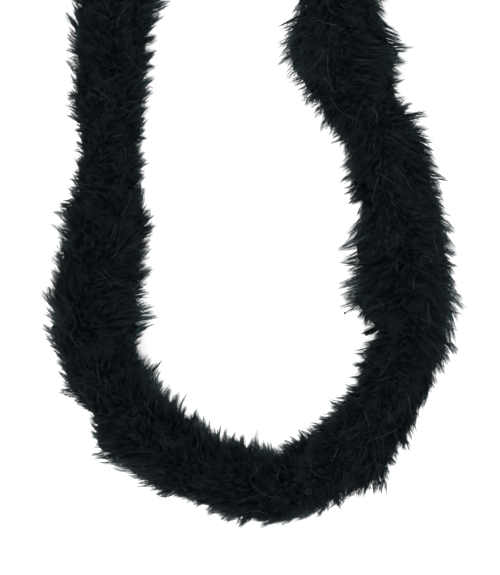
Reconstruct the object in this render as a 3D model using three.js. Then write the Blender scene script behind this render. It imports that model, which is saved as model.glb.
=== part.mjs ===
// A marabou feather boa lying flat on a table, +Z up, millimetres.
//
// A limp two-ply cord runs the whole length. A binding thread, wound close round the cord, holds the quills
// of several hundred down feathers, which stand out all round and make a soft round rope. Here the fluff is
// twenty-four plain sections threaded on the bound cord. The cord is cut at seven places where the boa bends,
// so that every stretch between two bends is one rigid body, and the fluff on both sides of a bend is
// tapered to leave room for it. Each end of the cord is knotted and has a thin hanging loop.
import * as THREE from 'three';

// Length and layout along the boa.
const STRETCHES = 8; // rigid stretches of the chain, with a bend between each two
const SECTIONS_PER_STRETCH = 3;
const STEPS_PER_SECTION = 4; // straight steps of every tube and bore in one section
const TAUT_LENGTH = 1830; // two yards of feathered cord
const LENGTH_TOLERANCE = 0.01; // how far the laid-out length may be off, as a share
const ROUTE_DIVISIONS = 4000; // for measuring distances along the route

// Cross-section of the boa.
const CORE_HEIGHT = 33; // centre of the cord above the table, which is half the height of the fluff
const CORE_RADIUS = 1.75;
const CORE_SIDES = 8;
const BINDING_INNER = 2.15;
const BINDING_OUTER = 2.7;
const BORE_RADIUS = 3.5; // free radius inside a fluff section
const FLUFF_SIDES = 12;

// Gaps and bends.
const TOUCH_GAP = 0.3; // between two solids that touch on the real boa
const BEND_GAP = 1.2; // between the cord's two cut ends at a bend
const BEND_TAPER = 0.36; // how far a section's end slopes back from a bend, for each millimetre of radius
const END_TAPER = 0.12; // the same at the two free ends of the boa
const EDGE_ROUNDING = 0.82; // radius of a section's end edge, as a share of its full radius
const EDGE_RUN = 0.12; // how far along the boa that edge is rounded, as a share of its full radius
const STEP_MARGIN = 2; // a step of the tube this near a rounded edge is left out

// The knots and hanging loops at the two ends.
const KNOT_RADIUS = 4.2;
const KNOT_SIDES = 12;
const KNOT_RINGS = 8;
const KNOT_GAP = 0.6; // between the fluff's end and the knot
const LOOP_THREAD_RADIUS = 0.9;
const LOOP_THREAD_SIDES = 6;
const LOOP_STEPS = 20; // steps round the whole loop
const LOOP_MIDDLE_BAND = 0.1; // points this near the loop's middle height stay there, as a share of its radius
const LOOP_HALF_WIDTH = 5.4;
const LOOP_FLOOR_GAP = 1.6;

// The cord's line on the table, from the end of the right arm, round the bottom of the U, to the end of the
// left arm. Both ends curl outwards and come back beside the arms.
const ROUTE = [
  [256, 2], [257, 28], [259, 72], [258, 118], [256, 158],
  [247, 204], [214, 240], [166, 254], [118, 243], [84, 210], [72, 166],
  [74, 131], [80, 99], [90, 67], [105, 34], [118, 0], [125, -36], [130, -71], [131, -106],
  [127, -143], [114, -184], [91, -214], [58, -241], [21, -256], [-20, -251], [-60, -231],
  [-93, -202], [-116, -169], [-127, -134], [-128, -98], [-123, -62], [-117, -18], [-115, 34],
  [-114, 80], [-110, 124], [-110, 166],
  [-121, 203], [-148, 229], [-184, 239], [-220, 228], [-246, 202], [-257, 164],
  [-259, 120], [-260, 76], [-258, 32], [-255, 2],
];

// Half-width of each section, from the first end to the last: the fluff is fuller in some places.
const HALF_WIDTHS = [
  33, 34, 35, 34, 34, 36, 42, 34, 37, 40, 31, 32,
  32, 35, 34, 37, 31, 29, 33, 34, 34, 34, 34, 32,
];

const DOWN_COLOUR = 0x0f1416;
const fluffMaterial = new THREE.MeshStandardMaterial({ color: DOWN_COLOUR, roughness: 0.95, metalness: 0 });
const cordMaterial = new THREE.MeshStandardMaterial({ color: 0x141618, roughness: 0.85, metalness: 0 });
const threadMaterial = new THREE.MeshStandardMaterial({ color: 0x1c2022, roughness: 0.6, metalness: 0 });

const boa = new THREE.Group();

function makeRoute() {
  const points = ROUTE.map(([x, y]) => new THREE.Vector3(x, y, CORE_HEIGHT));
  const curve = new THREE.CatmullRomCurve3(points, false, 'centripetal');
  curve.arcLengthDivisions = ROUTE_DIVISIONS;
  return curve;
}

const route = makeRoute();
const routeLength = route.getLength();
const sectionLength = routeLength / (STRETCHES * SECTIONS_PER_STRETCH);
const stretchLength = sectionLength * SECTIONS_PER_STRETCH;

if (Math.abs(routeLength - TAUT_LENGTH) > LENGTH_TOLERANCE * TAUT_LENGTH) {
  throw new Error(`the route is ${routeLength.toFixed(0)} mm long, and the boa ${TAUT_LENGTH}`);
}

// The part of the route between two distances along it, as a curve of its own.
class RouteStretch extends THREE.Curve {
  constructor(from, to) {
    super();
    this.from = from;
    this.to = to;
  }

  getPoint(t, target = new THREE.Vector3()) {
    return target.copy(route.getPointAt((this.from + t * (this.to - this.from)) / routeLength));
  }
}

// Where a point lies on the table that is `along` down the route, `side` to its right and `up` above its line.
// Past either end the route goes straight on.
function onRoute(along, side, up) {
  const held = THREE.MathUtils.clamp(along, 0, routeLength);
  const tangent = route.getTangentAt(held / routeLength);
  const right = new THREE.Vector3(tangent.y, -tangent.x, 0);
  const point = route.getPointAt(held / routeLength);
  point.addScaledVector(tangent, along - held);
  point.addScaledVector(right, side);
  point.z += up;
  return point;
}

// Moves each vertex of a lathe shape, turned about the Y axis, to its place along the route. The shape is
// round at its bore and as wide as `widthRatio` says at its rim.
function bendAlongRoute(geometry, widthRatio, rimRadius) {
  const position = geometry.attributes.position;
  for (let i = 0; i < position.count; i += 1) {
    const side = position.getX(i);
    const up = position.getZ(i);
    const radius = Math.hypot(side, up);
    const rim = THREE.MathUtils.clamp((radius - BORE_RADIUS) / (rimRadius - BORE_RADIUS), 0, 1);
    const wider = 1 + (widthRatio - 1) * rim;
    const placed = onRoute(position.getY(i), side * wider, up);
    position.setXYZ(i, placed.x, placed.y, placed.z);
  }
  geometry.computeVertexNormals();
  return geometry;
}

function addMesh(name, geometry, material) {
  const mesh = new THREE.Mesh(geometry, material);
  mesh.name = name;
  boa.add(mesh);
  return mesh;
}

function twoDigits(number) {
  return String(number).padStart(2, '0');
}

// One section of fluff: a ring with a bore for the bound cord. Its closed profile runs up the outside, from
// the start edge to the end edge, and back down the bore. An end beside a bend slopes back from it.
function makeFluffSection(index) {
  const start = index * sectionLength;
  const end = start + sectionLength;
  const first = index === 0;
  const last = index === STRETCHES * SECTIONS_PER_STRETCH - 1;
  const afterBend = !first && index % SECTIONS_PER_STRETCH === 0;
  const beforeBend = !last && (index + 1) % SECTIONS_PER_STRETCH === 0;
  const rimRadius = CORE_HEIGHT / Math.cos(Math.PI / FLUFF_SIDES);
  const edgeRadius = afterBend || beforeBend || first || last ? rimRadius * EDGE_ROUNDING : rimRadius;

  const taper = (bend, free) => (bend ? BEND_TAPER : (free ? END_TAPER : 0));
  const gap = (bend) => (bend ? BEND_GAP / 2 : TOUCH_GAP / 2);
  const startTaper = taper(afterBend, first);
  const endTaper = taper(beforeBend, last);
  const startAt = (radius) => start + gap(afterBend) + startTaper * radius;
  const endAt = (radius) => end - gap(beforeBend) - endTaper * radius;

  const profile = [new THREE.Vector2(BORE_RADIUS, startAt(BORE_RADIUS))];
  if (startTaper > 0) {
    profile.push(new THREE.Vector2(edgeRadius, startAt(edgeRadius)));
  }
  const rimStart = startAt(rimRadius) + (startTaper > 0 ? rimRadius * EDGE_RUN : 0);
  const rimEnd = endAt(rimRadius) - (endTaper > 0 ? rimRadius * EDGE_RUN : 0);
  profile.push(new THREE.Vector2(rimRadius, rimStart));
  const stations = [];
  for (let step = 1; step < STEPS_PER_SECTION; step += 1) {
    stations.push(start + (step * sectionLength) / STEPS_PER_SECTION);
  }
  for (const station of stations) {
    if (station > rimStart + STEP_MARGIN && station < rimEnd - STEP_MARGIN) {
      profile.push(new THREE.Vector2(rimRadius, station));
    }
  }
  profile.push(new THREE.Vector2(rimRadius, rimEnd));
  if (endTaper > 0) {
    profile.push(new THREE.Vector2(edgeRadius, endAt(edgeRadius)));
  }
  profile.push(new THREE.Vector2(BORE_RADIUS, endAt(BORE_RADIUS)));
  for (const station of stations.reverse()) {
    profile.push(new THREE.Vector2(BORE_RADIUS, station));
  }
  profile.push(profile[0].clone());

  const ring = new THREE.LatheGeometry(profile, FLUFF_SIDES, Math.PI / FLUFF_SIDES);
  const widthRatio = HALF_WIDTHS[index] / rimRadius;
  const name = `feather_section_${twoDigits(index + 1)}`;
  addMesh(name, bendAlongRoute(ring, widthRatio, rimRadius), fluffMaterial);
}

function circleShape(radius, sides) {
  const shape = new THREE.Shape();
  for (let i = 0; i < sides; i += 1) {
    const angle = (i * 2 * Math.PI) / sides;
    const place = [radius * Math.cos(angle), radius * Math.sin(angle)];
    if (i === 0) {
      shape.moveTo(...place);
    } else {
      shape.lineTo(...place);
    }
  }
  shape.closePath();
  return shape;
}

// One stretch of the cord between two bends, and the binding thread wound round it, which is a thin sleeve.
function makeStretch(index) {
  const from = index * stretchLength + BEND_GAP / 2;
  const to = (index + 1) * stretchLength - BEND_GAP / 2;
  const along = {
    steps: SECTIONS_PER_STRETCH * STEPS_PER_SECTION,
    extrudePath: new RouteStretch(from, to),
    bevelEnabled: false,
  };
  const cord = circleShape(CORE_RADIUS, CORE_SIDES);
  addMesh(`core_cord_${index + 1}`, new THREE.ExtrudeGeometry(cord, along), cordMaterial);

  const sleeve = circleShape(BINDING_OUTER, CORE_SIDES);
  sleeve.holes.push(circleShape(BINDING_INNER, CORE_SIDES));
  addMesh(`binding_thread_${index + 1}`, new THREE.ExtrudeGeometry(sleeve, along), threadMaterial);
}

// The knot that stops the feathers at one end of the cord, and the thin loop that hangs from it.
function makeEnd(name, along, outward) {
  const knotAt = along + outward * (KNOT_GAP + KNOT_RADIUS);
  const ball = new THREE.SphereGeometry(KNOT_RADIUS, KNOT_SIDES, KNOT_RINGS);
  const knot = addMesh(`end_knot_${name}`, ball, cordMaterial);
  knot.geometry.rotateX(Math.PI / 2);
  knot.position.copy(onRoute(knotAt, 0, 0));

  // The loop is a round ring drawn out upwards and downwards, so that its two sides are straight.
  const loopTop = CORE_HEIGHT - KNOT_RADIUS - TOUCH_GAP;
  const loopHeight = loopTop - LOOP_FLOOR_GAP;
  const ringRadius = LOOP_HALF_WIDTH - LOOP_THREAD_RADIUS;
  const drawnOut = loopHeight / 2 - LOOP_HALF_WIDTH;
  const ring = new THREE.TorusGeometry(ringRadius, LOOP_THREAD_RADIUS, LOOP_THREAD_SIDES, LOOP_STEPS);
  ring.rotateX(Math.PI / 2);
  const position = ring.attributes.position;
  for (let i = 0; i < position.count; i += 1) {
    const height = position.getZ(i);
    if (Math.abs(height) > LOOP_MIDDLE_BAND * ringRadius) {
      position.setZ(i, height + Math.sign(height) * drawnOut);
    }
  }
  ring.computeVertexNormals();
  const loop = addMesh(`hanging_loop_${name}`, ring, cordMaterial);
  loop.position.copy(onRoute(knotAt, 0, 0));
  loop.position.z = LOOP_FLOOR_GAP + loopHeight / 2;
}

for (let index = 0; index < STRETCHES * SECTIONS_PER_STRETCH; index += 1) {
  makeFluffSection(index);
}
for (let index = 0; index < STRETCHES; index += 1) {
  makeStretch(index);
}
makeEnd('right', 0, -1);
makeEnd('left', routeLength, 1);

export default boa;
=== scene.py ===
"""The looks of a black marabou boa: a twisted cord with a binding thread wound round it, and down feathers
tied on all round. Metres, +Z up. Distances down the boa are measured along the cord's route, from the end
of the right arm. The down is worked out round a straight cord, as a distance down the boa, a distance from
the cord and an angle about it, and then laid along the route."""

import bpy
import numpy as np
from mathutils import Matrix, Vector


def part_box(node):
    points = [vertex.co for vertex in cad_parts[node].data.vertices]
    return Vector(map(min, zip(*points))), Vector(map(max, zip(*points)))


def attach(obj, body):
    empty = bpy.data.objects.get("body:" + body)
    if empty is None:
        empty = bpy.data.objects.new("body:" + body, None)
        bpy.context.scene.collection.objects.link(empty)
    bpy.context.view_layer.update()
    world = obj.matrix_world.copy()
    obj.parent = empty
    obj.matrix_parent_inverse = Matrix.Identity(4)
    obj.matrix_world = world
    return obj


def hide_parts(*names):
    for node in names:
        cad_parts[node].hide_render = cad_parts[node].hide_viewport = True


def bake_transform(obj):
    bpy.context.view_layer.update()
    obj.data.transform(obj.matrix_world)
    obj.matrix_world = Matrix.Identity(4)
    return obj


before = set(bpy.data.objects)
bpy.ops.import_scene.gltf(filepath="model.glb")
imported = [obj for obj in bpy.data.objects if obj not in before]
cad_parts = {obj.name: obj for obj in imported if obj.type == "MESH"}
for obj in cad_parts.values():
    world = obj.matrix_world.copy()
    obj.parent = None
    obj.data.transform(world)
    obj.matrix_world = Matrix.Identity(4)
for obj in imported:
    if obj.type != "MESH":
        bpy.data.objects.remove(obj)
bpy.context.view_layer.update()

# ---------------------------------------------------------------- the boa's own sizes

MM = 0.001
GOLDEN_TURN = np.pi * (3 - 5**0.5)
FLOOR_GAP = 0.4 * MM  # the lowest fibres lie this far above the floor
SETTLING = 3 * MM  # fibres begin to settle this far above the lowest ones

STRETCHES = 8
SECTIONS_PER_STRETCH = 3
SECTIONS = STRETCHES * SECTIONS_PER_STRETCH

# The cord, its binding thread, its knots and its loops.
CORD_DIAMETER = 3.5 * MM
CORD_PITCH = 9 * MM  # one whole turn of its two plies
CORD_STEP = 1.2 * MM
INTO_KNOT = 2 * MM  # how far the cord runs on past the fluff's end, into its knot
BINDING_THREAD = 0.27 * MM  # the binding thread's radius
BINDING_PITCH = 3.2 * MM
BOUND_RADIUS = 2.7 * MM  # the cord with its binding thread
KNOT_RING = 0.46  # the ring that the knot's strand goes round, as a share of half the knot's width
KNOT_WIND = 0.27  # how far it winds about that ring, and its own radius, as the same share
FRAY_FIBRES = 46
FRAY_RADIUS = 0.16 * MM
LOOP_THREAD = 0.9 * MM  # the hanging loop's radius
LOOP_PITCH = 5 * MM
DROP_WIDTH = 1.30  # makes the drop, whose formula reaches 0.77 to each side, as wide as its CAD ring

# How many feathers, tufts, barbs and wisps there are. The tufts lie in rows round the boa.
FEATHERS_PER_SECTION = 18
TUFT_ROWS = 32
TUFT_COLUMNS = 38
BARBS_PER_TUFT = 5
WISPS_PER_TUFT = 4  # at the sides; there are fewer above and below
HAIRS_PER_SECTION = 5
HAIR_LENGTH = (10, 26)  # the shortest and the longest, in millimetres

# How thick they are.
QUILL_RADIUS = 0.5 * MM
QUILL_TIP = 0.12 * MM
BARB_RADIUS = 0.27 * MM
BARB_POINTS = (0.0, 0.55, 1.0)
BARB_TAPER = (1.0, 0.95)
WISP_RADIUS = 0.13 * MM
HAIR_RADIUS = 0.08 * MM

# How a feather lies: a mean and a spread for how far its shaft leans down the boa and for how far its
# barbs lie over down the boa, both as shares of the fluff's half-width, and a spread, in radians, for each
# turn about the cord, of its shaft and of its barbs.
QUILL_RUN = 7 * MM  # how far a quill lies along the cord, under the binding
LEAN = (0.22, 0.14)
NAP = (0.20, 0.12)
SHAFT_CURL = 0.22
BARB_SWEEP = 0.16
SHAFT_REACH = 0.72  # how far the shaft's tip reaches, as a share of the fluff's half-width
VANE_ON = 0.8  # how much further on the middle of its tips lies, as a share of its lean

# How far a tuft's tip reaches, as a share of the fluff's half-width: the least, what chance, the clumps'
# waves and the edge's waves may add, the limits of all that, and what the few longest tufts have more.
FULLNESS = 1.25  # the fluff's full half-width here, against the CAD fluff's
TIP_LEAST = 0.80
TIP_CHANCE = 0.19
CLUMP_WAVE = 0.05
EDGE_WAVE = 0.07
TIP_LIMITS = (0.62, 1.12)
LONG_TUFTS = 0.04
LONG_TUFT_MORE = 0.11
END_REACH = 11 * MM  # how far the fluff reaches past each end

# How the barbs go from the shaft to the tip.
GATHER = 0.30  # how far a barb's root is drawn from its own place to its feather's shaft
LONGEST_LEAN = 0.6  # how far before its tip a barb may leave, as a share of the fluff's half-width
PARTING = 0.45  # how far, in radians, the down at the sides has its roots nearer the top than its tips
BARB_BOW = 0.16  # how far a barb's middle is pulled outwards, as a share of its length
BARB_LIMIT = 0.92  # how far out a barb's middle may lie, as a share of the fluff's half-width
ROOT_SPREAD = 0.9 * MM
TUFT_SPREAD = 0.7 * MM
TIP_SPREAD = 0.35 * MM

# The shade at a barb's root, what a barb's tip has more, what the palest tuft has more, and what the tips
# at the boa's sides have more, which is painted light shining through them; the same for the wisps; and
# the shades of the odd pieces, where the loose hairs' pale shade is a painted highlight.
ROOT_SHADE, TIP_SHADE, TONE_SHADE, SIDE_THROUGH_LIGHT = 0.03, 0.16, 0.60, 0.50
WISP_SHADE, WISP_TIP_SHADE, WISP_SIDE_THROUGH_LIGHT = 0.30, 0.10, 0.60
QUILL_SHADE, SHAFT_SHADE, CURL_SHADE, THICK_TUFT_SHADE, HAIR_GLINT_SHADE = 0.25, 0.45, 0.55, 0.20, 0.82

# The dense down near the cord. Its ridges are painted paler and its dents darker, as painted shade.
UNDERDOWN_SHARE = 0.67
UNDERDOWN_ROUGH = 1.3 * MM
UNDERDOWN_ROUNDING = 12 * MM
UNDERDOWN_OVERLAP = 1 * MM
UNDERDOWN_SHADE, UNDERDOWN_DENT_SHADE = 0.12, 0.06

# Light and camera.
SKY_STRENGTH = 2.6
LAMP_ENERGY = 1.0
LAMP_WIDTH = 0.5  # the lamp's width as an angle, in radians
FLOOR_WHITE = 0.92
VIEW_CENTRE = (0.0, -90 * MM)
VIEW_HEIGHT = 477 * MM  # what the camera takes in from bottom to top, at the cord's height
CAMERA_DISTANCE = 2.6

# The cord's line on the table, in millimetres, from the end of the right arm to the end of the left arm.
ROUTE = [
    (256, 2), (257, 28), (259, 72), (258, 118), (256, 158),
    (247, 204), (214, 240), (166, 254), (118, 243), (84, 210), (72, 166),
    (74, 131), (80, 99), (90, 67), (105, 34), (118, 0), (125, -36), (130, -71), (131, -106),
    (127, -143), (114, -184), (91, -214), (58, -241), (21, -256), (-20, -251), (-60, -231),
    (-93, -202), (-116, -169), (-127, -134), (-128, -98), (-123, -62), (-117, -18), (-115, 34),
    (-114, 80), (-110, 124), (-110, 166),
    (-121, 203), (-148, 229), (-184, 239), (-220, 228), (-246, 202), (-257, 164),
    (-259, 120), (-260, 76), (-258, 32), (-255, 2),
]

# Places where the fluff is fuller or thinner than its section, in millimetres: how far down the boa, on
# which side (1 for the right, -1 for the left), how much more it reaches, and over what length.
PLACES = [
    (464, 1, -13, 10), (506, 1, 13, 24), (548, 1, -4, 8), (582, 1, -8, 12), (645, 1, -7, 10),
    (676, 1, 10, 14), (718, 1, 13, 18), (757, 1, -15, 12), (836, 1, 3, 10), (862, 1, -4, 10),
    (915, 1, -3, 18), (950, 1, 4, 12), (1010, 1, 3, 16), (1040, 1, -3, 8), (1052, 1, 3, 8),
    (1100, 1, 4, 10), (1125, 1, -4, 16), (1160, 1, 8, 14), (1208, 1, 4, 10), (1238, 1, 5, 12),
    (1262, 1, -5, 14), (1300, 1, -6, 26), (1340, 1, -3, 10), (1376, 1, -4, 8), (1400, 1, -8, 14),
    (1420, 1, 6, 14), (482, -1, -4, 14), (500, -1, -4, 10), (520, -1, 12, 12), (560, -1, -7, 14),
    (586, -1, 4, 8), (704, -1, -4, 10), (764, -1, 6, 8), (795, -1, -5, 26), (858, -1, 10, 14),
    (930, -1, -3, 26), (985, -1, -8, 18), (998, -1, -4, 10), (1064, -1, 11, 8), (1088, -1, -9, 9),
    (1112, -1, 4, 8), (1136, -1, -3, 8), (1148, -1, 7, 8), (1175, -1, 4, 12), (1240, -1, 7, 12),
    (1256, -1, -4, 8), (1300, -1, -5, 22), (1335, -1, 7, 10), (1378, -1, 8, 14), (1412, -1, 4, 10),
]

# Single stripped shafts that stand out of the down, in millimetres: how far down the boa, on which side,
# from how far out to how far out, how far the tip leans on down the boa, how high above the cord, and how
# thick.
STRIPPED_SHAFTS = [
    (717, 1, 28, 53, 20, 4, 0.7), (1352, 1, 20, 34, -4, 12, 0.3), (596, -1, 22, 44, 7, 6, 0.28),
]
# Small curls of down on top, in millimetres: how far down the boa, on which side, how far out, how high,
# and the curl's radius.
CURLS = [(668, 1, 6, 33, 2.2), (1143, 1, 24, 22, 3.0), (905, -1, 10, 30, 3.0)]
# A thick blunt tuft that stands out by itself, in millimetres: on which side, how far down the boa and how
# far out it starts, the same for where it ends, how high above the cord it is, and how thick.
THICK_TUFTS = [(1, 741, 16, 756, 34, 4, 2.8)]
CURL_FIBRES, CURL_RADIUS = 9, 0.22 * MM
THICK_TUFT_FIBRES, THICK_TUFT_RADIUS = 42, 0.4 * MM

# ---------------------------------------------------------------- the route


def smooth_line(points, steps=60):
    """A curve through all the points. Between two points it is a cubic whose slopes at its ends come from
    the points on both sides, each span being as long in time as the square root of its length."""
    p = np.vstack([2 * points[0] - points[1], points, 2 * points[-1] - points[-2]])
    p0, p1, p2, p3 = p[:-3], p[1:-2], p[2:-1], p[3:]
    t0, t1, t2 = (np.linalg.norm(b - a, axis=1)[:, None] ** 0.5 for a, b in ((p0, p1), (p1, p2), (p2, p3)))
    slope1 = ((p1 - p0) / t0 - (p2 - p0) / (t0 + t1) + (p2 - p1) / t1) * t1
    slope2 = ((p2 - p1) / t1 - (p3 - p1) / (t1 + t2) + (p3 - p2) / t2) * t1
    t = (np.arange(steps) / steps)[:, None, None]
    bend = 3 * (p2 - p1) - 2 * slope1 - slope2
    twist = 2 * (p1 - p2) + slope1 + slope2
    spans = p1 + slope1 * t + bend * t**2 + twist * t**3
    return np.vstack([spans.transpose(1, 0, 2).reshape(-1, points.shape[1]), points[-1:]])


LINE = smooth_line(np.array(ROUTE, float) * MM)
ALONG = np.concatenate([[0], np.cumsum(np.linalg.norm(np.diff(LINE, axis=0), axis=1))])
LENGTH = ALONG[-1]
HEADING = np.unwrap(np.arctan2(*np.gradient(LINE, ALONG, axis=0).T[::-1]))
SECTION = LENGTH / SECTIONS
STRETCH = LENGTH / STRETCHES
low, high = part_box("feather_section_12")
CORE_HEIGHT = (low.z + high.z) / 2


def on_route(along, side, up):
    """Points of the room for points of the straight boa: `along` down the route, `side` to its right and
    `up` above the cord. Past an end the route goes straight on."""
    held = np.clip(along, 0, LENGTH)
    x, y = (np.interp(held, ALONG, LINE[:, k]) for k in (0, 1))
    heading = np.interp(held, ALONG, HEADING)
    ahead, past = np.stack([np.cos(heading), np.sin(heading)]), along - held
    x = x + ahead[0] * past + ahead[1] * side
    y = y + ahead[1] * past - ahead[0] * side
    return np.stack(np.broadcast_arrays(x, y, CORE_HEIGHT + up), axis=-1)


def section_half_widths():
    """How far each section of fluff reaches sideways from the route in the CAD model."""
    widths = []
    for i in range(SECTIONS):
        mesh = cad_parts[f"feather_section_{i + 1:02d}"].data
        points = np.zeros(len(mesh.vertices) * 3, np.float32)
        mesh.vertices.foreach_get("co", points)
        points = points.reshape(-1, 3)[:, None, :2]
        near = (ALONG > (i + 0.3) * SECTION) & (ALONG < (i + 0.7) * SECTION)
        away = np.linalg.norm(points - LINE[None, near], axis=2)
        middle = away.argmin(axis=1)
        inner = (middle > 0) & (middle < near.sum() - 1)
        widths.append(away.min(axis=1)[inner].max() if inner.any() else away.min(axis=1).max())
    return np.array(widths)


HALF_WIDTHS = section_half_widths()
SECTION_MIDDLES = (np.arange(SECTIONS) + 0.5) * SECTION

# ---------------------------------------------------------------- camera


def make_camera():
    """A camera straight above, whose lens takes in the wanted height at its distance."""
    data = bpy.data.cameras.new("camera")
    data.lens = data.sensor_width * CAMERA_DISTANCE / VIEW_HEIGHT
    data.clip_end = 20
    camera = bpy.data.objects.new("camera", data)
    camera.location = (*VIEW_CENTRE, CORE_HEIGHT + CAMERA_DISTANCE)
    bpy.context.scene.collection.objects.link(camera)
    bpy.context.scene.camera = camera


make_camera()

# ---------------------------------------------------------------- meshes and materials


def put_mesh(name, points, quads, triangles, material, numbers=()):
    """A mesh piece from arrays of points, four-cornered faces and three-cornered faces, with a number for
    each point where a name and an array are given."""
    mesh = bpy.data.meshes.new(name)
    mesh.vertices.add(len(points))
    mesh.vertices.foreach_set("co", np.ascontiguousarray(points, np.float32).ravel())
    corners = np.concatenate([quads.ravel(), triangles.ravel()]).astype(np.int32)
    starts = np.concatenate([np.arange(len(quads)) * 4, len(quads) * 4 + np.arange(len(triangles)) * 3])
    mesh.loops.add(len(corners))
    mesh.loops.foreach_set("vertex_index", corners)
    mesh.polygons.add(len(starts))
    mesh.polygons.foreach_set("loop_start", starts.astype(np.int32))
    mesh.polygons.foreach_set("use_smooth", np.ones(len(starts), bool))
    mesh.update(calc_edges=True)
    for key, values in numbers:
        mesh.attributes.new(key, "FLOAT", "POINT").data.foreach_set("value", values.astype(np.float32))
    mesh.materials.append(material)
    piece = bpy.data.objects.new(name, mesh)
    bpy.context.scene.collection.objects.link(piece)
    return piece


def joined(*parts):
    """Several sets of points, quads, triangles and one number for each point, as one set."""
    starts = np.cumsum([0] + [len(part[0]) for part in parts])
    points, quads, triangles, numbers = zip(*parts)
    return (
        np.concatenate(points),
        np.concatenate([faces + start for faces, start in zip(quads, starts)]),
        np.concatenate([faces + start for faces, start in zip(triangles, starts)]),
        np.concatenate(numbers),
    )


def grid_faces(rows, columns, closed=False):
    """Four-cornered faces of a tube of rings, each ring closing on itself, and the tube too where
    `closed`."""
    row = np.arange(rows if closed else rows - 1)[:, None]
    here, after = row * columns, (row + 1) % rows * columns
    k, nxt = np.arange(columns), (np.arange(columns) + 1) % columns
    return np.stack([here + k, here + nxt, after + nxt, after + k], axis=-1).reshape(-1, 4)


def end_faces(rows, columns):
    """Three-cornered faces from the first and the last ring to the two points that follow the rings."""
    k, nxt = np.arange(columns), (np.arange(columns) + 1) % columns
    last = (rows - 1) * columns
    first_point, last_point = rows * columns, rows * columns + 1
    return np.vstack([
        np.stack([nxt, k, np.full(columns, first_point)], axis=-1),
        np.stack([last + k, last + nxt, np.full(columns, last_point)], axis=-1),
    ])


def normalised(vectors):
    """The vectors, each divided by its length."""
    return vectors / np.maximum(np.linalg.norm(vectors, axis=-1, keepdims=True), 1e-12)


def new_material(name, roughness, specular):
    """A material with its node tree and its shader."""
    material = bpy.data.materials.new(name)
    material.use_nodes = True
    shader = material.node_tree.nodes["Principled BSDF"]
    shader.inputs["Roughness"].default_value = roughness
    shader.inputs["Specular IOR Level"].default_value = specular
    return material, material.node_tree, shader


def uneven_attribute(tree, name, scale, amount):
    """A piece's own number, made uneven by as much as `amount` to both sides by a fine noise, and that
    noise by itself."""
    number = tree.nodes.new("ShaderNodeAttribute")
    number.attribute_name = name
    place = tree.nodes.new("ShaderNodeTexCoord")
    noise = tree.nodes.new("ShaderNodeTexNoise")
    noise.inputs["Scale"].default_value = scale
    noise.inputs["Detail"].default_value = 2
    tree.links.new(place.outputs["Object"], noise.inputs["Vector"])
    centred = tree.nodes.new("ShaderNodeMath")
    centred.operation = "MULTIPLY_ADD"
    centred.inputs[1].default_value = 2 * amount
    tree.links.new(noise.outputs["Fac"], centred.inputs[0])
    lowered = tree.nodes.new("ShaderNodeMath")
    lowered.operation = "SUBTRACT"
    lowered.inputs[1].default_value = amount
    tree.links.new(number.outputs["Fac"], lowered.inputs[0])
    tree.links.new(lowered.outputs[0], centred.inputs[2])
    return centred.outputs[0], noise.outputs["Fac"]


def ramp(tree, factor, stops):
    """The colour for a factor from 0 to 1, between stops of a place and a colour."""
    node = tree.nodes.new("ShaderNodeValToRGB")
    elements = node.color_ramp.elements
    for k, (place, colour) in enumerate(stops):
        element = elements[k] if k < 2 else elements.new(place)
        element.position = place
        element.color = (*colour, 1)
    tree.links.new(factor, node.inputs["Fac"])
    return node.outputs["Color"]


def down_material():
    """Black marabou down. Its number `shade` is 0 deep at the roots, where it is nearly black, 0.5 in the
    outer down, a cold dark grey, and 1 in the finest tips at the boa's sides, whose dull blue-green is
    painted light shining through them from behind."""
    material, tree, shader = new_material("marabou_down", 0.55, 0.035)
    shade, _ = uneven_attribute(tree, "shade", 900, 0.06)
    colours = (
        (0.0, (0.0024, 0.0034, 0.0041)),
        (0.4, (0.0040, 0.0061, 0.0076)),
        (0.7, (0.0085, 0.0146, 0.0171)),
        # The palest stop is painted light shining through the thin tips at the boa's sides.
        (1.0, (0.0600, 0.1170, 0.1260)),
    )
    tree.links.new(ramp(tree, shade, colours), shader.inputs["Base Color"])
    return material


def deep_down_material():
    """The dense down near the cord, which is black and dull, with fine uneven streaks."""
    material, tree, shader = new_material("deep_down", 0.9, 0.03)
    shade, fibres = uneven_attribute(tree, "shade", 650, 0.4)
    colours = ((0.0, (0.0034, 0.0046, 0.0054)), (1.0, (0.0078, 0.0114, 0.0134)))
    tree.links.new(ramp(tree, shade, colours), shader.inputs["Base Color"])
    bumps = tree.nodes.new("ShaderNodeBump")
    bumps.inputs["Strength"].default_value = 1.0
    bumps.inputs["Distance"].default_value = 1.2 * MM
    tree.links.new(fibres, bumps.inputs["Height"])
    tree.links.new(bumps.outputs["Normal"], shader.inputs["Normal"])
    return material


def yarn_material(name, low, high, roughness, specular):
    """Dyed black yarn, uneven from fibre to fibre, with a fine rough surface, painted darker between its
    plies than on them as painted shade in the grooves and painted light on the plies. Its number `ply` is
    0 between the plies and 1 where a ply stands out."""
    material, tree, shader = new_material(name, roughness, specular)
    ply, fibres = uneven_attribute(tree, "ply", 2500, 0.25)
    # Painted shade between the plies, painted light where a ply stands out.
    tree.links.new(ramp(tree, ply, ((0.0, low), (1.0, high))), shader.inputs["Base Color"])
    bumps = tree.nodes.new("ShaderNodeBump")
    bumps.inputs["Strength"].default_value = 0.5
    bumps.inputs["Distance"].default_value = 0.1 * MM
    tree.links.new(fibres, bumps.inputs["Height"])
    tree.links.new(bumps.outputs["Normal"], shader.inputs["Normal"])
    return material


DOWN = down_material()
DEEP_DOWN = deep_down_material()
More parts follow.
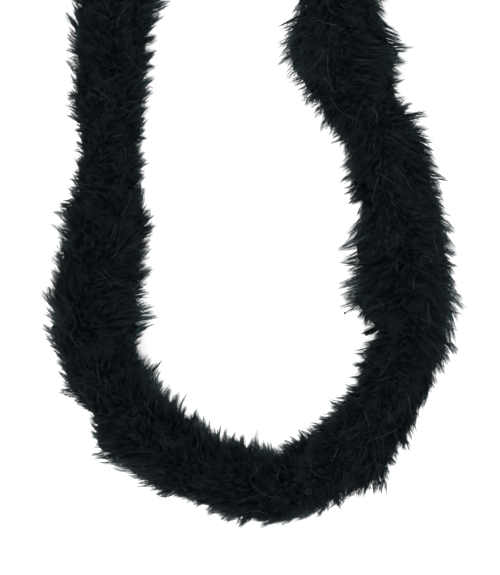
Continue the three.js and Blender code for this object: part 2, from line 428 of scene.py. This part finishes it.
# Each yarn's darker colour is painted shade between its plies and its paler one painted light on them.
CORD_YARN = yarn_material("core_cord", (0.0025, 0.003, 0.0035), (0.014, 0.016, 0.017), 0.85, 0.25)
BINDING_YARN = yarn_material("binding_thread", (0.004, 0.0045, 0.005), (0.016, 0.017, 0.018), 0.45, 0.45)
LOOP_YARN = yarn_material("loop_thread", (0.003, 0.0035, 0.004), (0.020, 0.022, 0.023), 0.6, 0.35)

# ---------------------------------------------------------------- the cord, its binding, knots and loops


def bend_with(piece, bend):
    """Bakes the piece's placement into its mesh. It is not made to turn with the stretches beside the
    bend; the route's points one section before and after the bend are worked out but not used.
    """
    at = bend * STRETCH
    start, end = (on_route(np.array(s), 0.0, 0.0) for s in (at - SECTION, at + SECTION))
    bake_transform(piece)


def go_with_span(piece, span):
    """A span of the cord reaches from the middle of one stretch to the middle of the next, and only has
    its placement baked into its mesh. The first and the last span are half as long and go with the first
    and the last stretch."""
    if 0 < span < STRETCHES:
        bend_with(piece, span)
    else:
        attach(piece, f"stretch_{min(max(span, 1), STRETCHES)}")


def polar(along, radius, angle):
    """Straight-boa points from a distance down the boa, a distance from the cord and an angle about it,
    which is 0 at the right and a quarter turn at the top."""
    return np.stack(np.broadcast_arrays(along, radius * np.cos(angle), radius * np.sin(angle)), axis=-1)


def twisted_strand(line, side, radius, turns, columns, closed=False):
    """Two plies twisted together and carried along a line. Each ring of points lies square to the line,
    and its radius swells twice round, where a ply stands out. The plies turn about the line as many times
    as `turns` says for each point of the line."""
    around_line = [np.roll(line, k, axis=0) for k in (-1, 1)]
    tangent = normalised(around_line[0] - around_line[1] if closed else np.gradient(line, axis=0))
    across = normalised(side - (side * tangent).sum(-1, keepdims=True) * tangent)
    around = np.cross(tangent, across)
    angle = np.linspace(0, 2 * np.pi, columns, endpoint=False)
    ply = np.abs(np.cos(angle - 2 * np.pi * turns[:, None]))
    swell = (radius * (0.62 + 0.38 * ply**0.8))[..., None]
    spokes = np.cos(angle)[:, None] * across[:, None] + np.sin(angle)[:, None] * around[:, None]
    # The ply number also goes to the yarn's colour, as painted shade between the plies and painted light
    # where a ply stands out.
    points, numbers = (line[:, None] + swell * spokes).reshape(-1, 3), ply.ravel()
    if closed:
        return points, grid_faces(len(line), columns, closed=True), np.zeros((0, 3), int), numbers
    points = np.vstack([points, line[[0, -1]]])
    numbers = np.append(numbers, [0.5, 0.5])
    return points, grid_faces(len(line), columns), end_faces(len(line), columns), numbers


def span_ends(span):
    """Where a span of the cord starts and ends, down the boa."""
    return max(span - 0.5, 0) * STRETCH, min(span + 0.5, STRETCHES) * STRETCH


def core_cord(span):
    """One span of the core cord: a two-ply strand carried along the route. Its path ends at its knot where
    it has one, and otherwise runs down the boa."""
    start, end = span_ends(span)
    start -= INTO_KNOT * (span == 0)
    end += INTO_KNOT * (span == STRETCHES)
    along = np.linspace(start, end, round((end - start) / CORD_STEP) + 1)
    line = on_route(along, 0.0, 0.0)
    points, quads, triangles, ply = twisted_strand(
        line, np.array([[0.0, 0.0, 1.0]]), CORD_DIAMETER / 2, along / CORD_PITCH, 16
    )
    piece = put_mesh(f"cord_{span + 1}", points, quads, triangles, CORD_YARN, (("ply", ply),))
    go_with_span(piece, span)
    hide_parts(*(f"core_cord_{k}" for k in (span, span + 1) if 1 <= k <= STRETCHES))
    if span == 0:
        line = line[::-1]


def binding(span):
    """One span of the binding thread, which holds the quills to the cord: a round thread wound on in a
    helix. A point of it is told by how far along the cord the helix has come and by the angle round the
    thread itself."""
    start, end = span_ends(span)
    steps, sides = 12, 4
    wound = np.arange(start, end, BINDING_PITCH / steps)[:, None]
    round_thread = (np.arange(sides) * 2 * np.pi / sides)[None]
    along = wound + BINDING_THREAD * np.cos(round_thread)
    radius = BOUND_RADIUS - BINDING_THREAD + BINDING_THREAD * np.sin(round_thread)
    helix = 2 * np.pi * wound / BINDING_PITCH + 0 * round_thread
    rings = laid(polar(along, radius, helix))
    ends = rings[[0, -1]].mean(axis=1)
    points = np.vstack([rings.reshape(-1, 3), ends])
    # The thread's outer side is painted paler and its side against the cord darker, as painted light and
    # painted shade.
    ply = np.append(np.tile(np.sin(round_thread[0]) * 0.5 + 0.5, len(wound)), [0.5, 0.5])
    quads, triangles = (faces(len(wound), sides)[:, ::-1] for faces in (grid_faces, end_faces))
    piece = put_mesh(f"binding_{span + 1}", points, quads, triangles, BINDING_YARN, (("ply", ply),))
    go_with_span(piece, span)
    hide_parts(*(f"binding_thread_{k}" for k in (span, span + 1) if 1 <= k <= STRETCHES))


def middle_and_half(node):
    """A CAD node's middle, and half its size each way."""
    low, high = (np.array(corner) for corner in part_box(node))
    return (low + high) / 2, (high - low) / 2


def end_knot(side, stretch, outward):
    """An overhand knot in the cord, pulled tight, with a short frayed end. The cord's line goes twice
    round a ring and winds three times about it on the way: with u from 0 to a whole turn, it is ring +
    wind cos 3u from the knot's middle at the angle 2u, and 1.6 wind sin 3u along the boa. The fray is
    fibres that spread on beyond the knot and droop with the square of how far along they are."""
    middle, half = middle_and_half(f"end_knot_{side}")
    ring, wind, strand = KNOT_RING * half[0], KNOT_WIND * half[0], KNOT_WIND * half[0]
    u = np.linspace(0, 2 * np.pi, 110, endpoint=False)
    away = ring + wind * np.cos(3 * u)
    outwards = np.stack([np.cos(2 * u), 0 * u, np.sin(2 * u)], axis=-1)
    line = middle + away[:, None] * outwards
    line[:, 1] += 1.6 * wind * np.sin(3 * u)
    knot = twisted_strand(line, outwards, strand, 9 * u / (2 * np.pi), 10, closed=True)

    rng = np.random.default_rng(50 + stretch)
    t = np.linspace(0, 1, 5)[:, None]
    spread = rng.normal(0, 0.28, (FRAY_FIBRES, 1, 3))
    long = rng.uniform(6, 10, (FRAY_FIBRES, 1, 1)) * MM
    ahead = np.array([0.0, outward, 0.0])
    droop = np.array([0.0, 0.0, -0.35])
    fray = middle + 0.5 * half[0] * spread + long * (t * (ahead + spread) + t**2 * droop)
    fibre_radii = np.full((FRAY_FIBRES, 4), FRAY_RADIUS) * np.array([1, 1, 0.9, 0.7])
    points, quads, triangles = tubes(fray, fibre_radii, 4)
    points, quads, triangles, ply = joined(knot, (points, quads, triangles, np.full(len(points), 0.6)))
    piece = put_mesh(f"knot_{side}", points, quads, triangles, CORD_YARN, (("ply", ply),))
    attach(piece, f"stretch_{stretch}")
    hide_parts(f"end_knot_{side}")
    return piece


def hanging_loop(side, stretch):
    """A loop of thin two-ply thread that hangs from a knot like a drop: with u from 0 to a whole turn, it
    is sin u sin(u/2) to the side and (1 - cos u) / 2 of its height down from the knot."""
    middle, half = middle_and_half(f"hanging_loop_{side}")
    knot, knot_half = middle_and_half(f"end_knot_{side}")
    top = knot[2] - 0.6 * knot_half[2]
    bottom = middle[2] - half[2] + LOOP_THREAD
    widest = DROP_WIDTH * (half[0] - LOOP_THREAD)
    u = np.linspace(0, 2 * np.pi, 81)
    to_the_side, down = widest * np.sin(u) * np.sin(u / 2), (top - bottom) * (np.cos(u) - 1) / 2
    line = np.array([middle[0], middle[1], top]) + np.stack([to_the_side, 0 * u, down], axis=-1)
    length = np.linalg.norm(np.diff(line, axis=0), axis=1).sum()
    turns = np.linspace(0, length / LOOP_PITCH, len(u))
    across = np.array([[0.0, 1.0, 0.0]])
    points, quads, triangles, ply = twisted_strand(line, across, LOOP_THREAD, turns, 10)
    piece = put_mesh(f"loop_{side}", points, quads, triangles, LOOP_YARN, (("ply", ply),))
    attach(piece, f"stretch_{stretch}")
    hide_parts(f"hanging_loop_{side}")


def tubes(line, radii, sides):
    """Closed tapered tubes along many short lines at once. `line` is tubes by points by three, the last
    point being the sharp tip, and `radii` gives the thickness at each of the other points."""
    count, points, _ = line.shape
    rings = points - 1
    forward = normalised(np.gradient(line, axis=1)[:, :-1] if rings > 1 else line[:, 1:] - line[:, :1])
    across = normalised(np.cross(forward, np.array([0.31, 0.52, 0.79])))
    around = np.cross(forward, across)
    turn = (np.arange(sides) * 2 * np.pi / sides)[:, None]
    spokes = np.cos(turn) * across[:, :, None] + np.sin(turn) * around[:, :, None]
    ring_points = line[:, :-1, None] + radii[:, :, None, None] * spokes
    vertices = np.concatenate([ring_points.reshape(count, rings * sides, 3), line[:, -1:]], axis=1)
    quads = grid_faces(rings, sides) if rings > 1 else np.zeros((0, 4), int)
    k, nxt = np.arange(sides), (np.arange(sides) + 1) % sides
    last = (rings - 1) * sides
    tip = np.stack([last + k, last + nxt, np.full(sides, rings * sides)], axis=-1)
    fan = np.arange(1, sides - 1)
    cap = np.stack([np.zeros_like(fan), fan + 1, fan], axis=-1)
    shift = (np.arange(count) * (rings * sides + 1))[:, None, None]
    triangles = np.vstack([tip, cap])
    return vertices.reshape(-1, 3), (quads + shift).reshape(-1, 4), (triangles + shift).reshape(-1, 3)


def laid_on_table(side, up):
    """Fibres that would reach below the table lie on it instead. By as much as a point is below the place
    where they begin to settle, its height above the table falls off exponentially, and half of that much
    goes outwards."""
    lowest = -CORE_HEIGHT + FLOOR_GAP
    below = np.maximum(lowest + SETTLING - up, 0)
    up = np.where(below > 0, lowest + SETTLING * np.exp(-below / SETTLING), up)
    return side + np.sign(side) * 0.5 * below, up


def laid(straight):
    """Straight-boa points pressed onto the table and laid along the route."""
    side, up = laid_on_table(straight[..., 1], straight[..., 2])
    return on_route(straight[..., 0], side, up)


KNOTS = {"right": end_knot("right", 1, -1), "left": end_knot("left", STRETCHES, -1)}
for each_span in range(STRETCHES + 1):
    core_cord(each_span)
    binding(each_span)
hanging_loop("right", 1)
hanging_loop("left", STRETCHES)

# ---------------------------------------------------------------- the down feathers


def bump(along, middle, spread):
    """A smooth bump of height one, at its middle, that falls off to both sides."""
    return np.exp(-(((along - middle) / spread) ** 2))


def half_width(along, side):
    """How far the fluff reaches to one side: the CAD section's width, and what that place has more or
    less."""
    wide = np.interp(along, SECTION_MIDDLES, HALF_WIDTHS)
    for middle, place_side, more, spread in PLACES:
        if place_side == side:
            wide = wide + more * MM * bump(along, middle * MM, spread * MM)
    return FULLNESS * wide


def fluff_radius(along, angle):
    """How far the fluff reaches from the cord at an angle about it: an oval whose width passes smoothly
    from the right side's to the left side's, and whose height is what the cord lies above the table."""
    share = (1 + np.cos(angle)) / 2
    wide = half_width(along, 1) * share + half_width(along, -1) * (1 - share)
    high = CORE_HEIGHT + 2 * MM
    return wide * high / np.sqrt((high * np.cos(angle)) ** 2 + (wide * np.sin(angle)) ** 2)


def rounded_end(along, inset, reach):
    """How a round end narrows: a quarter ellipse, from one where it starts, `inset` before the boa's end,
    to nothing at `reach` past that start."""
    past = np.maximum(inset - along, along - LENGTH + inset)
    return np.sqrt(1 - np.clip(past / reach, 0, 1) ** 2)


def uneven(along, angle, seed, shortest, longest, most_round):
    """Smooth uneven numbers about nought over the fluff's surface: waves of many lengths, added up, of
    which each goes a whole number of times round the boa, up to `most_round`."""
    rng = np.random.default_rng(seed)
    fast = 2 * np.pi / rng.uniform(shortest, longest, 28)
    around = rng.integers(-most_round, most_round + 1, 28)
    phase = rng.uniform(0, 2 * np.pi, 28)
    waves = np.cos(along[:, None] * fast + angle[:, None] * around + phase)
    return waves.sum(axis=1) / 14**0.5


def all_feathers():
    """Every feather, in the order in which it is tied on: where it leaves the cord, and its angle about
    it, which goes on by the golden angle from one to the next. It leans over with the nap, and at both
    ends of the boa it leans out over the end knot. `share` is how long its tips are against the
    others'."""
    rng = np.random.default_rng(11)
    count = SECTIONS * FEATHERS_PER_SECTION
    number = np.arange(count)
    along = (number + 0.5 + rng.uniform(-0.4, 0.4, count)) / count * LENGTH
    angle = (number * GOLDEN_TURN + rng.normal(0, 0.15, count)) % (2 * np.pi)
    outwards = 0.5 * np.clip(1 - (LENGTH - along) / (30 * MM), 0, 1)
    outwards = outwards - 0.9 * np.clip(1 - along / (40 * MM), 0, 1)
    return {
        "section": number // FEATHERS_PER_SECTION,
        "along": along,
        "angle": angle,
        "full": fluff_radius(along, angle),
        "lean": np.clip(rng.normal(*LEAN, count), -0.1, 0.9) + outwards,
        "curl": rng.normal(0, SHAFT_CURL, count),
        "nap": np.clip(rng.normal(*NAP, count), 0.0, 0.6) + outwards,
        "sweep": rng.normal(0, BARB_SWEEP, count),
        "tone": rng.uniform(0, 1, count),
        "share": rng.uniform(0.94, 1.05, count),
    }


def shaft_at(t, f):
    """A feather's soft shaft in polar form, for t from 0 at the cord to 1 at its tip. It goes outwards by
    1.2 t - 0.2 t squared of its reach, and bends over with t to the power 1.5."""
    along = f["along"] + f["full"] * f["lean"] * t**1.5
    radius = BOUND_RADIUS + (SHAFT_REACH * f["full"] - BOUND_RADIUS) * (1.2 * t - 0.2 * t**2)
    return along, radius, f["angle"] + f["curl"] * t**1.5


def all_tufts(feathers):
    """The tips of all tufts, spread evenly over the fluff's surface, and for each the feather that it
    belongs to: the one whose vane, which lies a little down the nap from its shaft's tip, is nearest."""
    rng = np.random.default_rng(12)
    rows, columns = TUFT_ROWS * SECTIONS, TUFT_COLUMNS
    row, column = np.mgrid[0:rows, 0:columns]
    along = (row + rng.uniform(0, 1, row.shape)) / rows * (LENGTH + 2 * END_REACH) - END_REACH
    angle = (column + 0.5 * (row % 2) + rng.uniform(-0.5, 0.5, row.shape)) / columns * 2 * np.pi
    along, angle = along.ravel(), angle.ravel()
    vane_along, _, vane_angle = shaft_at(np.ones(len(feathers["along"])), feathers)
    vane_along = vane_along + VANE_ON * feathers["full"] * feathers["lean"]
    turn = (angle[:, None] - vane_angle + np.pi) % (2 * np.pi) - np.pi
    away = np.hypot(along[:, None] - vane_along, 0.75 * feathers["full"] * turn)
    owner = away.argmin(axis=1)
    angle = vane_angle[owner] + turn[np.arange(len(owner)), owner]
    near = away.min(axis=1) / feathers["full"][owner]
    clump = uneven(along, angle, 13, 9 * MM, 24 * MM, 16)
    edge = uneven(along, angle, 14, 6 * MM, 15 * MM, 2)
    longness = TIP_LEAST + TIP_CHANCE * rng.uniform(0, 1, len(owner)) ** 1.6 + CLUMP_WAVE * clump
    longness = np.clip(longness + EDGE_WAVE * edge, *TIP_LIMITS)
    longness = longness + LONG_TUFT_MORE * (rng.uniform(0, 1, len(owner)) < LONG_TUFTS)
    full = fluff_radius(along, angle) * rounded_end(along, 0, END_REACH)
    tone = 0.2 * feathers["tone"][owner] + 0.04 * clump + 0.9 * rng.uniform(0, 1, len(owner)) ** 1.8
    return {
        "owner": owner,
        "along": along,
        "angle": angle,
        "radius": full * feathers["share"][owner] * longness,
        "root": np.clip(0.92 - 0.4 * near, 0.4, 0.97),
        "tone": np.clip(tone, 0, 1),
        "sideways": np.abs(np.cos(angle)) ** 5,
        "stray_along": rng.normal(0, 3.5 * MM, len(owner)),
        "stray_angle": rng.normal(0, 0.25, len(owner)) * (0.3 + 0.7 * np.abs(np.sin(angle))),
    }


def quills(index, feathers):
    """The quills and shafts of one section's feathers. A quill lies along the cord under the binding, then
    turns outwards into the shaft, which thins towards its tip."""
    mine = feathers["section"] == index
    f = {key: value[mine, None] for key, value in feathers.items()}
    t = np.linspace(0, 1, 7)[None]
    shaft = polar(*shaft_at(t, f))
    start = polar(f["along"] - QUILL_RUN, BOUND_RADIUS - QUILL_RADIUS, f["angle"])
    turn = polar(f["along"] - 0.25 * QUILL_RUN, BOUND_RADIUS - 0.5 * QUILL_RADIUS, f["angle"])
    line = laid(np.concatenate([start, turn, shaft], axis=1))
    radii = np.broadcast_to(np.linspace(QUILL_RADIUS, QUILL_TIP, 8), (mine.sum(), 8))
    points, faces, triangles = tubes(line, radii, 4)
    return points, faces, triangles, np.full(len(points), QUILL_SHADE)


def oddities(index):
    """The stripped shafts, curls and thick tufts that lie in one section. A shaft is straight and ends in
    a small knob. A curl is a spiral of fine fibres side by side, which winds in as it goes: its radius
    falls to a fifth in one and a half turns. A thick tuft is a bundle of barbs that run side by side from
    its start to its end and spread a little on the way."""
    parts = []
    for along, side, start, end, lean, up, thick in STRIPPED_SHAFTS:
        if along * MM // SECTION == index:
            t = np.array([0.0, 0.5, 0.93, 0.94, 0.985, 1.0])
            line = [along + lean * t, side * (start + (end - start) * t), up + 0 * t]
            line = np.stack(line, axis=-1) * MM
            radii = np.array([[1.0, 0.8, 0.6, 1.5, 1.5]]) * thick * MM
            parts.append((laid(line[None]), radii, 6, SHAFT_SHADE))
    for along, side, out, up, curl in CURLS:
        if along * MM // SECTION == index:
            rng = np.random.default_rng(7000 + along)
            t = np.linspace(0, 1, 13)[None]
            shape = (CURL_FIBRES, 1)
            wound = 3 * np.pi * t + rng.normal(0, 0.15, shape)
            away = curl * (1 - 0.8 * t) * rng.uniform(0.8, 1.1, shape)
            high = up + 2 * t + rng.normal(0, 0.5, shape)
            line = [along + away * np.cos(wound), side * out + away * np.sin(wound), high]
            line = laid(np.stack(line, axis=-1) * MM)
            parts.append((line, np.full((CURL_FIBRES, 12), CURL_RADIUS), 4, CURL_SHADE))
    for side, start, start_out, end, end_out, up, thick in THICK_TUFTS:
        if start * MM // SECTION == index:
            rng = np.random.default_rng(8000 + start)
            count = THICK_TUFT_FIBRES
            t = np.array([0.0, 0.5, 0.95, 1.0])[None, :, None] * rng.uniform(0.85, 1.0, (count, 1, 1))
            across = rng.normal(0, 0.5 * thick, (count, 1, 3)) * (0.6 + 0.7 * t)
            first, last = (np.array([a, side * b, up]) for a, b in ((start, start_out), (end, end_out)))
            line = laid((first + (last - first) * t + across) * MM)
            parts.append((line, np.full((1, 3), THICK_TUFT_RADIUS), 3, THICK_TUFT_SHADE))
    made = []
    for line, radii, sides, shade in parts:
        points, quads, triangles = tubes(line, radii, sides)
        made.append((points, quads, triangles, np.full(len(points), shade)))
    return made


def glinting_hairs(index):
    """Long thin hairs of down that lie loose on top of one section, painted pale as a highlight glinting
    along them. A hair lies anywhere on the upper side, just under the longest tips, and runs over the
    fluff's surface more or less down the boa, its direction turning evenly from its start to its end."""
    rng = np.random.default_rng(9000 + index)
    shape = (HAIRS_PER_SECTION, 1)
    t = np.linspace(-0.5, 0.5, 6)[None]
    course = rng.normal(0, 0.7, shape) + rng.normal(0, 0.5, shape) * t
    run = rng.uniform(*HAIR_LENGTH, shape) * MM * t
    along = (index + rng.uniform(0, 1, shape)) * SECTION + run * np.cos(course)
    angle = rng.uniform(0.2, 0.8, shape) * np.pi + run * np.sin(course) / CORE_HEIGHT
    radius = 0.96 * fluff_radius(along, angle) * rounded_end(along, 0, END_REACH)
    line = laid(polar(along, radius, angle))
    points, quads, triangles = tubes(line, np.full((HAIRS_PER_SECTION, 5), HAIR_RADIUS), 3)
    # The hairs' pale shade is a painted highlight glinting along them.
    return points, quads, triangles, np.full(len(points), HAIR_GLINT_SHADE)


def held_in(points, share):
    """Points drawn in towards the cord where they lie beyond a share of the fluff's own radius there, so
    that no barb runs free across a dent."""
    away = np.hypot(points[..., 1], points[..., 2])
    most = share * fluff_radius(points[..., 0], np.arctan2(points[..., 2], points[..., 1]))
    drawn = np.minimum(1, most / np.maximum(away, MM))
    return points * np.stack([np.ones_like(drawn), drawn, drawn], axis=-1)


def barb_points(root, middle, tip, u):
    """Points of quadratic curves that start at the root, end at the tip and bow towards the middle."""
    a, b, c = (v[..., None, :] for v in (root, middle, tip))
    return ((1 - u) ** 2 * a + 2 * u * (1 - u) * b + u**2 * c).reshape(-1, len(u), 3)


def down_section(index, feathers, tufts, material):
    """The feathers tied on in one section, with the loose hairs and odd pieces on them. A feather's barbs
    go in tufts: the barbs of a tuft leave the shaft side by side, spread, and run together towards one tip
    on the fluff's surface. A barb is a quadratic curve from the shaft, outwards and then over with the
    nap. Its root is nearer the top of the boa than its tip is, by an angle that goes with the cosine of
    the tip's angle, so that the down on top falls to both sides. Between the barbs stand finer, paler,
    straight wisps, each of which leaves a barb at 0.62 of its length. At the boa's sides the tips of barbs
    and wisps are painted paler still, as painted light shining through them. All is worked out round a
    straight cord, pressed onto the table, and then laid along the route."""
    rng = np.random.default_rng(1000 + index)
    mine = feathers["section"][tufts["owner"]] == index
    tuft = {key: value[mine, None] for key, value in tufts.items()}
    owner = {key: value[tuft["owner"]] for key, value in feathers.items()}
    shape = (mine.sum(), BARBS_PER_TUFT)

    t = np.clip(tuft["root"] + rng.uniform(-0.12, 0.08, shape), 0.05, 1.0)
    along, radius, angle = shaft_at(t, owner)
    gather = GATHER + rng.uniform(-0.2, 0.2, shape)
    own_along = tuft["along"] - owner["nap"] * owner["full"] + tuft["stray_along"]
    own_angle = tuft["angle"] - owner["sweep"] + PARTING * np.cos(tuft["angle"]) + tuft["stray_angle"]
    along = own_along + gather * (along - own_along) + rng.normal(0, ROOT_SPREAD, shape)
    along = np.maximum(along, tuft["along"] - LONGEST_LEAN * owner["full"])
    angle = own_angle + gather * (angle - own_angle) + rng.normal(0, ROOT_SPREAD, shape) / radius
    root = held_in(polar(along, radius, angle), SHAFT_REACH)
    tip = polar(tuft["along"], tuft["radius"], tuft["angle"])
    share = rng.uniform(0.85, 1.0, shape)[..., None]
    end = root + (tip - root) * share + rng.normal(0, TIP_SPREAD, (*shape, 3))
    run = np.linalg.norm(end - root, axis=-1, keepdims=True)
    outward = normalised(root * np.array([0.0, 1.0, 1.0]))
    middle = (root + end) / 2 + BARB_BOW * run * outward + rng.normal(0, TUFT_SPREAD, (*shape, 3))
    middle = held_in(middle, BARB_LIMIT)
    u = np.array(BARB_POINTS)[:, None]
    line = laid(barb_points(root, middle, end, u))
    radii = BARB_RADIUS * rng.uniform(0.65, 1.25, (len(line), 1)) * np.array(BARB_TAPER)
    points, quads, triangles = tubes(line, radii, 3)
    corners = len(points) // len(line)
    along_barb = np.append(np.repeat(u.ravel()[:-1], 3), 1.0)
    reach = np.tile(along_barb, len(line)) * 0.6 + 0.4 * np.repeat(t.ravel(), corners)
    tone = np.repeat(np.clip(tuft["tone"] + rng.normal(0, 0.10, shape), 0, 1).ravel(), corners)
    sideways = np.repeat(np.broadcast_to(tuft["sideways"], shape).ravel(), corners)
    # At the boa's sides the barbs' tips are painted paler: painted light shining through them from behind.
    shade = ROOT_SHADE + reach * (TIP_SHADE + TONE_SHADE * tone) + SIDE_THROUGH_LIGHT * sideways * reach**4
    shade = np.clip(shade, 0, 1)
    barbs = (points, quads, triangles, shade)

    shape = (mine.sum(), WISPS_PER_TUFT)
    kept = rng.uniform(0, 1, shape) < 0.2 + 0.8 * tuft["sideways"]
    pick = rng.integers(0, BARBS_PER_TUFT, shape)
    rows = np.arange(mine.sum())[:, None]
    leaves = 0.62
    forks = (1 - leaves) ** 2 * root + 2 * leaves * (1 - leaves) * middle + leaves**2 * end
    start, ahead = forks[rows, pick], normalised(end - middle)[rows, pick]
    ahead = normalised(ahead + rng.normal(0, 0.28, (*shape, 3)))
    far = np.linalg.norm(end - forks, axis=-1)[rows, pick] * rng.uniform(0.9, 1.25, shape) + 1.0 * MM
    line = laid(np.stack([start, start + far[..., None] * ahead], axis=-2)[kept])
    radii = WISP_RADIUS * rng.uniform(0.7, 1.3, (len(line), 1))
    points, quads, triangles = tubes(line, radii, 3)
    sideways = np.repeat(np.broadcast_to(tuft["sideways"], shape)[kept], 4)
    at_tip = np.tile([0, 0, 0, WISP_TIP_SHADE], len(line))
    # At the boa's sides the wisps are painted paler: painted light shining through them from behind.
    shade = np.clip(WISP_SHADE + at_tip + WISP_SIDE_THROUGH_LIGHT * sideways, 0, 1)
    wisps = (points, quads, triangles, shade)

    points, quads, triangles, shade = joined(
        quills(index, feathers), barbs, wisps, glinting_hairs(index), *oddities(index)
    )
    return put_mesh(f"down_{index + 1:02d}", points, quads, triangles, material, (("shade", shade),))


def underdown_section(index, material):
    """The dense down close to the cord, as one ridged body: a tube whose radius is a share of the fluff's,
    with rough ridges, rounded off at the boa's ends. Its ridges are painted paler and its dents darker,
    as painted shade."""
    rng = np.random.default_rng(5000 + index)
    rows, columns = 32, 72
    start = index * SECTION - (UNDERDOWN_OVERLAP if index else 0)
    end = (index + 1) * SECTION + (UNDERDOWN_OVERLAP if index < SECTIONS - 1 else 0)
    along = np.linspace(start, end, rows)[:, None]
    angle = np.linspace(0, 2 * np.pi, columns, endpoint=False)[None]
    rough = rng.normal(0, UNDERDOWN_ROUGH, (rows, columns))
    narrowing = np.maximum(rounded_end(along, UNDERDOWN_ROUNDING, UNDERDOWN_ROUNDING), 0.15)
    radius = narrowing * (UNDERDOWN_SHARE * fluff_radius(along, angle) + rough)
    ring_points = polar(along + 0 * angle, radius, angle + 0 * along)
    caps = polar(along[[0, -1], 0], np.zeros(2), np.zeros(2))
    points = laid(np.vstack([ring_points.reshape(-1, 3), caps]))
    quads, triangles = (faces(rows, columns)[:, ::-1] for faces in (grid_faces, end_faces))
    # Ridges are painted paler and dents darker, as painted shade.
    shade = np.append(UNDERDOWN_SHADE + UNDERDOWN_DENT_SHADE * rough / UNDERDOWN_ROUGH, [0.0, 0.0])
    numbers = (("shade", np.clip(shade, 0, 1)),)
    return put_mesh(f"underdown_{index + 1:02d}", points, quads, triangles, material, numbers)


def ride_or_blend(piece, index):
    """A section beside a bend only has its placement baked into its mesh, and a middle one, or one at an
    end of the boa, goes with its own stretch.
    """
    stretch, place = divmod(index, SECTIONS_PER_STRETCH)
    bend = stretch if place == 0 else stretch + 1
    if place == 1 or bend == 0 or bend == STRETCHES:
        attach(piece, f"stretch_{stretch + 1}")
    else:
        bend_with(piece, bend)


FEATHERS = all_feathers()
TUFTS = all_tufts(FEATHERS)
for section in range(SECTIONS):
    for fluff in (down_section(section, FEATHERS, TUFTS, DOWN), underdown_section(section, DEEP_DOWN)):
        ride_or_blend(fluff, section)
        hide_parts(f"feather_section_{section + 1:02d}")

# ---------------------------------------------------------------- floor and light


def make_floor():
    """A plain white floor."""
    material, _, shader = new_material("white_floor", 0.9, 0.0)
    shader.inputs["Base Color"].default_value = (FLOOR_WHITE, FLOOR_WHITE, FLOOR_WHITE, 1)
    half = 6.0
    corners = np.array([[-half, -half, 0], [half, -half, 0], [half, half, 0], [-half, half, 0]])
    floor = put_mesh("floor", corners, np.array([[0, 1, 2, 3]]), np.zeros((0, 3), int), material)


def make_light():
    """Even white light from all round, and a large soft lamp from the upper left."""
    world = bpy.data.worlds.new("studio")
    world.use_nodes = True
    world.node_tree.nodes["Background"].inputs["Color"].default_value = (1, 1, 1, 1)
    world.node_tree.nodes["Background"].inputs["Strength"].default_value = SKY_STRENGTH
    bpy.context.scene.world = world
    data = bpy.data.lights.new("window", "SUN")
    data.energy = LAMP_ENERGY
    data.angle = LAMP_WIDTH
    lamp = bpy.data.objects.new("window", data)
    lamp.rotation_euler = (np.radians(-30), np.radians(-25), 0)
    bpy.context.scene.collection.objects.link(lamp)


make_floor()
make_light()
bpy.context.scene.view_settings.view_transform = "Standard"
